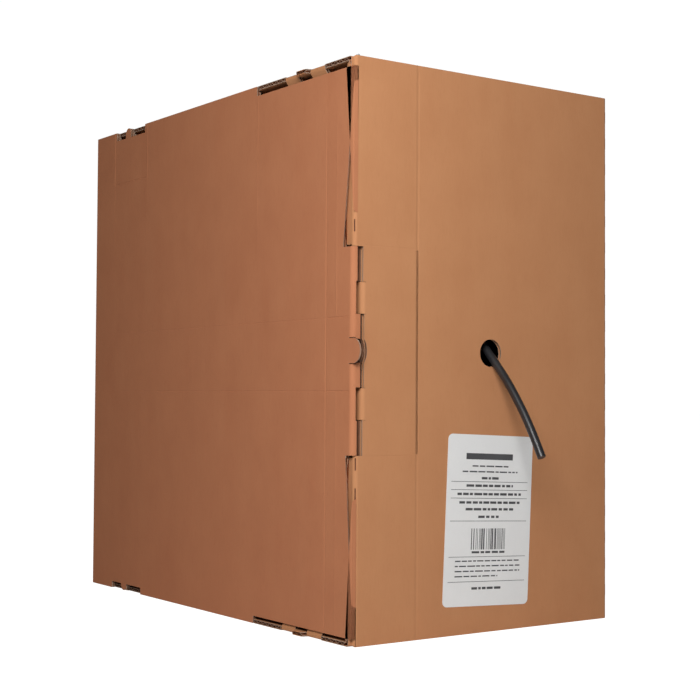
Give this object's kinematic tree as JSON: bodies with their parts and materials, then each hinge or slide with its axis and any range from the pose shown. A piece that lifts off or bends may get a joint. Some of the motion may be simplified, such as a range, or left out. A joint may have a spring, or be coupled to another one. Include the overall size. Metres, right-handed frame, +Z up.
{
  "type": "cable spool box",
  "caption": "Upright corrugated carton with locking tuck flaps that holds a reel of network cable on a card axle and pays the cable out through a round hole in its front.",
  "frame": {"origin": "centre of the carton's underside, at the middle of its outside width and depth, without the tongues that stand out", "axes": "+Z up; -Y out of the front panel, where the cable comes out; -X out of the lid, the large left side; the reel turns about X"},
  "size_m": [0.243, 0.456, 0.401],
  "materials": {
    "kraft_board": "matte brown kraft liner, B flute, with pale fluted cut edges",
    "double_wall_board": "matte kraft liner, double wall",
    "card_tube": "spiral wound grey-brown card",
    "label_paper": "matte coated white paper with plain dark rules and bars",
    "plywood": "raw sanded plywood",
    "bush_plastic": "moulded black polypropylene",
    "zinc_steel": "bright zinc plate",
    "cable_jacket": "black outdoor polyethylene, slightly glossy"
  },
  "bodies": {
    "root": {"axle_board_left": "double_wall_board", "axle_board_right": "double_wall_board", "axle_tube": "card_tube", "back_panel": "kraft_board", "cable_free_end": "cable_jacket", "cable_lead": "cable_jacket", "front_panel": "kraft_board", "front_side_flap": "kraft_board", "label": "label_paper", "right_side_panel": "kraft_board"},
    "lid": {"lid_lock_tabs": "kraft_board", "lid_panel": "kraft_board"},
    "top": {"top_front_dust_flap": "kraft_board", "top_front_tuck_flap": "kraft_board", "top_panel": "kraft_board", "top_rear_dust_flap": "kraft_board", "top_rear_tuck_flap": "kraft_board"},
    "bottom": {"bottom_front_dust_flap": "kraft_board", "bottom_front_tuck_flap": "kraft_board", "bottom_panel": "kraft_board", "bottom_rear_dust_flap": "kraft_board", "bottom_rear_tuck_flap": "kraft_board"},
    "spool": {"spool_flange_left": "plywood", "spool_flange_right": "plywood", "drum_core": "card_tube", "hub_bush_left": "bush_plastic", "hub_bush_right": "bush_plastic", "tie_rods": "zinc_steel", "tie_washers": "zinc_steel", "tie_nuts": "zinc_steel", "cable_winding": "cable_jacket"}
  },
  "joints": [
    {"name": "lid_open", "type": "hinge", "parent": "root", "child": "lid", "pos_m": [-0.12, 0.201, 0.2], "axis": [0, 0, -1], "range_deg": [0, 180]},
    {"name": "top_open", "type": "hinge", "parent": "root", "child": "top", "pos_m": [0.12, 0, 0.4], "axis": [0, 1, 0], "range_deg": [0, 180]},
    {"name": "bottom_open", "type": "hinge", "parent": "root", "child": "bottom", "pos_m": [0.12, 0, 0], "axis": [0, -1, 0], "range_deg": [0, 180]},
    {"name": "spool_spin", "type": "hinge", "parent": "root", "child": "spool", "pos_m": [0.004, 0, 0.2], "axis": [1, 0, 0], "continuous": true}
  ]
}
